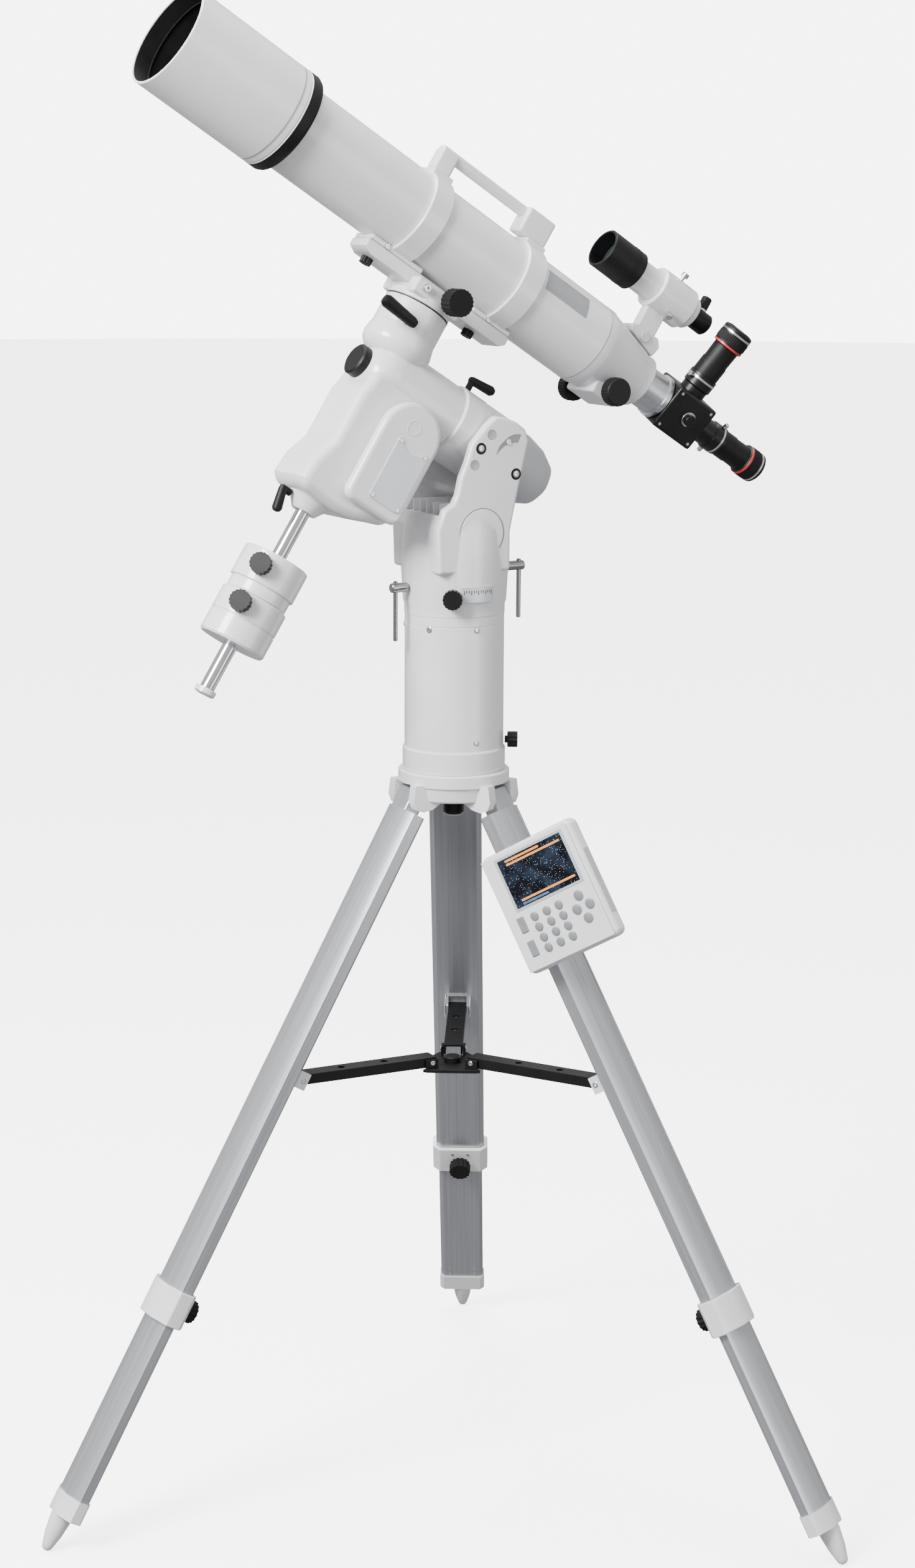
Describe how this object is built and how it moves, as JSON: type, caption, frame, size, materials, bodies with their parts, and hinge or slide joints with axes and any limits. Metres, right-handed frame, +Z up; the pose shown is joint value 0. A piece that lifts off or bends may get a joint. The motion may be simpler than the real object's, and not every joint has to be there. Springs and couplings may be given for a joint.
{
  "type": "telescope on tripod",
  "caption": "Refractor telescope on an equatorial mount with counterweights, half pillar, folding extending tripod, finder, flip mirror and hand controller.",
  "frame": {"origin": "on the floor at the centre of the object's bounding box; the tripod's axis is at (0, -0.1543)", "axes": "+Z up, +Y toward the back leg; the telescope points toward -X, -Y and up"},
  "size_m": [1.0772, 0.9483, 2.0369],
  "materials": {
    "white_paint": "gloss white paint",
    "grey_plastic": "satin grey",
    "black_plastic": "matt black",
    "black_paint": "satin black",
    "black_anodised": "black anodised",
    "satin_metal": "satin silver",
    "leg_aluminium": "brushed, clear anodised",
    "steel_shaft": "polished",
    "lens_glass": "coated"
  },
  "bodies": {
    "tripod": {"tripod_head": "white_paint", "half_pillar": "white_paint"},
    "head_knob": {"head_knob": "black_plastic"},
    "pillar_knob": {"pillar_knob": "black_plastic"},
    "spreader_hub": {"spreader_hub": "black_paint"},
    "leg_left": {"leg_upper_left": "leg_aluminium", "leg_collar_left": "white_paint"},
    "collar_knob_left": {"collar_knob_left": "black_plastic"},
    "leg_extension_left": {"leg_lower_left": "leg_aluminium", "leg_foot_left": "white_paint"},
    "spreader_arm_left": {"spreader_arm_left": "black_paint"},
    "leg_right": {"leg_upper_right": "leg_aluminium", "leg_collar_right": "white_paint", "controller_clip": "black_plastic"},
    "collar_knob_right": {"collar_knob_right": "black_plastic"},
    "leg_extension_right": {"leg_lower_right": "leg_aluminium", "leg_foot_right": "white_paint"},
    "spreader_arm_right": {"spreader_arm_right": "black_paint"},
    "leg_back": {"leg_upper_back": "leg_aluminium", "leg_collar_back": "white_paint"},
    "collar_knob_back": {"collar_knob_back": "black_plastic"},
    "leg_extension_back": {"leg_lower_back": "leg_aluminium", "leg_foot_back": "white_paint"},
    "spreader_arm_back": {"spreader_arm_back": "black_paint"},
    "mount_base": {"mount_base": "white_paint"},
    "altitude_bolt_front": {"altitude_bolt_front": "satin_metal"},
    "altitude_bolt_rear": {"altitude_bolt_rear": "satin_metal"},
    "azimuth_knob": {"azimuth_knob": "black_plastic"},
    "azimuth_knob_far": {"azimuth_knob_far": "black_plastic"},
    "polar_housing": {"ra_housing": "white_paint", "ra_rear_cover": "grey_plastic"},
    "ra_clamp_lever": {"ra_clamp_lever": "black_plastic"},
    "ra_body": {"dec_housing": "white_paint", "motor_cover": "white_paint", "counterweight_shaft": "steel_shaft"},
    "polar_cap": {"polar_cap": "black_plastic"},
    "dec_clamp_lever": {"dec_clamp_lever": "black_plastic"},
    "shaft_clamp_lever": {"shaft_clamp_lever": "black_plastic"},
    "counterweight_upper": {"counterweight_upper": "white_paint"},
    "counterweight_knob_upper": {"counterweight_knob_upper": "black_plastic"},
    "counterweight_lower": {"counterweight_lower": "white_paint"},
    "counterweight_knob_lower": {"counterweight_knob_lower": "black_plastic"},
    "optical_tube": {"dec_saddle": "white_paint", "dovetail_plate": "white_paint", "tube_ring_front": "white_paint", "tube_ring_rear": "white_paint", "carry_handle": "white_paint", "main_tube": "white_paint", "dew_shield": "white_paint", "objective_lens": "lens_glass", "focuser_body": "white_paint", "finder_bracket": "white_paint", "finder_tube": "white_paint"},
    "saddle_knob": {"saddle_knob": "black_plastic"},
    "drawtube": {"drawtube": "satin_metal", "flip_mirror_box": "black_anodised"},
    "focus_knobs": {"focus_knobs": "black_plastic"},
    "eyepiece_straight": {"eyepiece_straight": "black_plastic"},
    "eyepiece_side": {"eyepiece_side": "black_plastic"},
    "hand_controller": {"hand_controller": "black_plastic"}
  },
  "joints": [
    {"name": "head_knob_turn", "type": "hinge", "parent": "tripod", "child": "head_knob", "pos_m": [0, -0.15435, 0.968], "axis": [0, 0, 1], "continuous": true},
    {"name": "pillar_knob_turn", "type": "hinge", "parent": "tripod", "child": "pillar_knob", "pos_m": [0.08, -0.15435, 1.055], "axis": [1, 0, 0], "continuous": true},
    {"name": "leg_fold_left", "type": "hinge", "parent": "tripod", "child": "leg_left", "pos_m": [-0.05716, -0.18735, 0.97992], "axis": [0.5, -0.866, 0], "range_deg": [0, 10]},
    {"name": "collar_knob_turn_left", "type": "hinge", "parent": "leg_left", "child": "collar_knob_left", "pos_m": [-0.35601, -0.35989, 0.30548], "axis": [-0.7547, -0.4358, 0.4904], "continuous": true},
    {"name": "leg_slide_left", "type": "slide", "parent": "leg_left", "child": "leg_extension_left", "axis": [0.4247, 0.2452, 0.8715], "range_m": [-0.03, 0.24]},
    {"name": "arm_fold_left", "type": "hinge", "parent": "leg_left", "child": "spreader_arm_left", "pos_m": [-0.20638, -0.2735, 0.60642], "axis": [0.5, -0.866, 0], "range_deg": [0, 39.42]},
    {"name": "leg_fold_right", "type": "hinge", "parent": "tripod", "child": "leg_right", "pos_m": [0.05716, -0.18735, 0.97992], "axis": [0.5, 0.866, 0], "range_deg": [0, 10]},
    {"name": "collar_knob_turn_right", "type": "hinge", "parent": "leg_right", "child": "collar_knob_right", "pos_m": [0.35601, -0.35989, 0.30548], "axis": [0.7547, -0.4358, 0.4904], "continuous": true},
    {"name": "leg_slide_right", "type": "slide", "parent": "leg_right", "child": "leg_extension_right", "axis": [-0.4247, 0.2452, 0.8715], "range_m": [-0.03, 0.24]},
    {"name": "arm_fold_right", "type": "hinge", "parent": "leg_right", "child": "spreader_arm_right", "pos_m": [0.20638, -0.2735, 0.60642], "axis": [0.5, 0.866, 0], "range_deg": [0, 39.42]},
    {"name": "leg_fold_back", "type": "hinge", "parent": "tripod", "child": "leg_back", "pos_m": [0, -0.08835, 0.97992], "axis": [-1, 0, 0], "range_deg": [0, 10]},
    {"name": "collar_knob_turn_back", "type": "hinge", "parent": "leg_back", "child": "collar_knob_back", "pos_m": [0, 0.25673, 0.30548], "axis": [0, 0.8715, 0.4904], "continuous": true},
    {"name": "leg_slide_back", "type": "slide", "parent": "leg_back", "child": "leg_extension_back", "axis": [0, -0.4904, 0.8715], "range_m": [-0.03, 0.24]},
    {"name": "arm_fold_back", "type": "hinge", "parent": "leg_back", "child": "spreader_arm_back", "pos_m": [0, 0.08395, 0.60642], "axis": [-1, 0, 0], "range_deg": [0, 39.42]},
    {"name": "hub_rise", "type": "slide", "parent": "tripod", "child": "spreader_hub", "axis": [0, 0, 1], "range_m": [0, 0.12723]},
    {"name": "azimuth_turn", "type": "hinge", "parent": "tripod", "child": "mount_base", "pos_m": [0, -0.15435, 1.231], "axis": [0, 0, 1], "range_deg": [-7, 7]},
    {"name": "altitude_bolt_front_turn", "type": "hinge", "parent": "mount_base", "child": "altitude_bolt_front", "pos_m": [-0.07746, -0.20211, 1.268], "axis": [-0.8512, -0.5249, 0], "continuous": true},
    {"name": "altitude_bolt_rear_turn", "type": "hinge", "parent": "mount_base", "child": "altitude_bolt_rear", "pos_m": [0.08597, -0.10134, 1.287], "axis": [-0.8512, -0.5249, 0], "continuous": true},
    {"name": "azimuth_knob_turn", "type": "hinge", "parent": "mount_base", "child": "azimuth_knob", "pos_m": [0, -0.23435, 1.257], "axis": [0, -1, 0], "continuous": true},
    {"name": "azimuth_knob_far_turn", "type": "hinge", "parent": "mount_base", "child": "azimuth_knob_far", "pos_m": [0, -0.07435, 1.257], "axis": [0, 1, 0], "continuous": true},
    {"name": "altitude_tilt", "type": "hinge", "parent": "mount_base", "child": "polar_housing", "pos_m": [0.04852, -0.12443, 1.419], "axis": [-0.5249, 0.8512, 0], "range_deg": [-5, 5]},
    {"name": "ra_clamp_turn", "type": "hinge", "parent": "polar_housing", "child": "ra_clamp_lever", "pos_m": [0.01942, -0.14237, 1.53418], "axis": [0.4573, 0.282, 0.8434], "range_deg": [-30, 30]},
    {"name": "ra_turn", "type": "hinge", "parent": "polar_housing", "child": "ra_body", "pos_m": [-0.09703, -0.21419, 1.5502], "axis": [-0.7179, -0.4427, 0.5373], "range_deg": [-90, 90]},
    {"name": "polar_cap_pull", "type": "slide", "parent": "ra_body", "child": "polar_cap", "axis": [-0.7179, -0.4427, 0.5373], "range_m": [0, 0.03]},
    {"name": "dec_clamp_turn", "type": "hinge", "parent": "ra_body", "child": "dec_clamp_lever", "pos_m": [-0.05601, -0.24763, 1.62213], "axis": [0.5249, -0.8512, 0], "range_deg": [-25, 25]},
    {"name": "shaft_clamp_turn", "type": "hinge", "parent": "ra_body", "child": "shaft_clamp_lever", "pos_m": [-0.21539, -0.28717, 1.40639], "axis": [-0.7179, -0.4427, 0.5373], "range_deg": [-30, 30]},
    {"name": "counterweight_upper_slide", "type": "slide", "parent": "ra_body", "child": "counterweight_upper", "axis": [0.4573, 0.282, 0.8434], "range_m": [0, 0.045]},
    {"name": "counterweight_knob_upper_turn", "type": "hinge", "parent": "counterweight_upper", "child": "counterweight_knob_upper", "pos_m": [-0.24338, -0.35169, 1.31864], "axis": [-0.1057, -0.9244, 0.3664], "continuous": true},
    {"name": "counterweight_lower_slide", "type": "slide", "parent": "ra_body", "child": "counterweight_lower", "axis": [-0.4573, -0.282, -0.8434], "range_m": [0, 0.06]},
    {"name": "counterweight_knob_lower_turn", "type": "hinge", "parent": "counterweight_lower", "child": "counterweight_knob_lower", "pos_m": [-0.26853, -0.3672, 1.27226], "axis": [-0.1057, -0.9244, 0.3664], "continuous": true},
    {"name": "dec_turn", "type": "hinge", "parent": "ra_body", "child": "optical_tube", "pos_m": [-0.09703, -0.21419, 1.5502], "axis": [0.4573, 0.282, 0.8434], "continuous": true},
    {"name": "saddle_knob_turn", "type": "hinge", "parent": "optical_tube", "child": "saddle_knob", "pos_m": [0.00265, -0.2232, 1.64618], "axis": [0.5249, -0.8512, 0], "continuous": true},
    {"name": "focus_travel", "type": "slide", "parent": "optical_tube", "child": "drawtube", "axis": [0.7179, 0.4427, -0.5373], "range_m": [-0.03, 0.045]},
    {"name": "focus_turn", "type": "hinge", "parent": "optical_tube", "child": "focus_knobs", "pos_m": [0.18634, -0.03944, 1.52188], "axis": [0.5249, -0.8512, 0], "range_deg": [-230, 344]},
    {"name": "eyepiece_straight_pull", "type": "slide", "parent": "drawtube", "child": "eyepiece_straight", "axis": [0.7179, 0.4427, -0.5373], "range_m": [0, 0.03]},
    {"name": "eyepiece_side_pull", "type": "slide", "parent": "drawtube", "child": "eyepiece_side", "axis": [0.6093, -0.0261, 0.7925], "range_m": [0, 0.03]},
    {"name": "controller_lift_off", "type": "slide", "parent": "leg_right", "child": "hand_controller", "axis": [-0.5, -0.866, 0], "range_m": [0, 0.06]}
  ],
  "couplings": [
    {"joint": "arm_fold_left", "follows": "leg_fold_left", "ratio": 3.9423},
    {"joint": "leg_fold_right", "follows": "leg_fold_left", "ratio": 1},
    {"joint": "arm_fold_right", "follows": "leg_fold_left", "ratio": 3.9423},
    {"joint": "leg_fold_back", "follows": "leg_fold_left", "ratio": 1},
    {"joint": "arm_fold_back", "follows": "leg_fold_left", "ratio": 3.9423},
    {"joint": "hub_rise", "follows": "leg_fold_left", "m_per_rad": 0.7289},
    {"joint": "focus_turn", "follows": "focus_travel", "rad_per_m": 133}
  ]
}
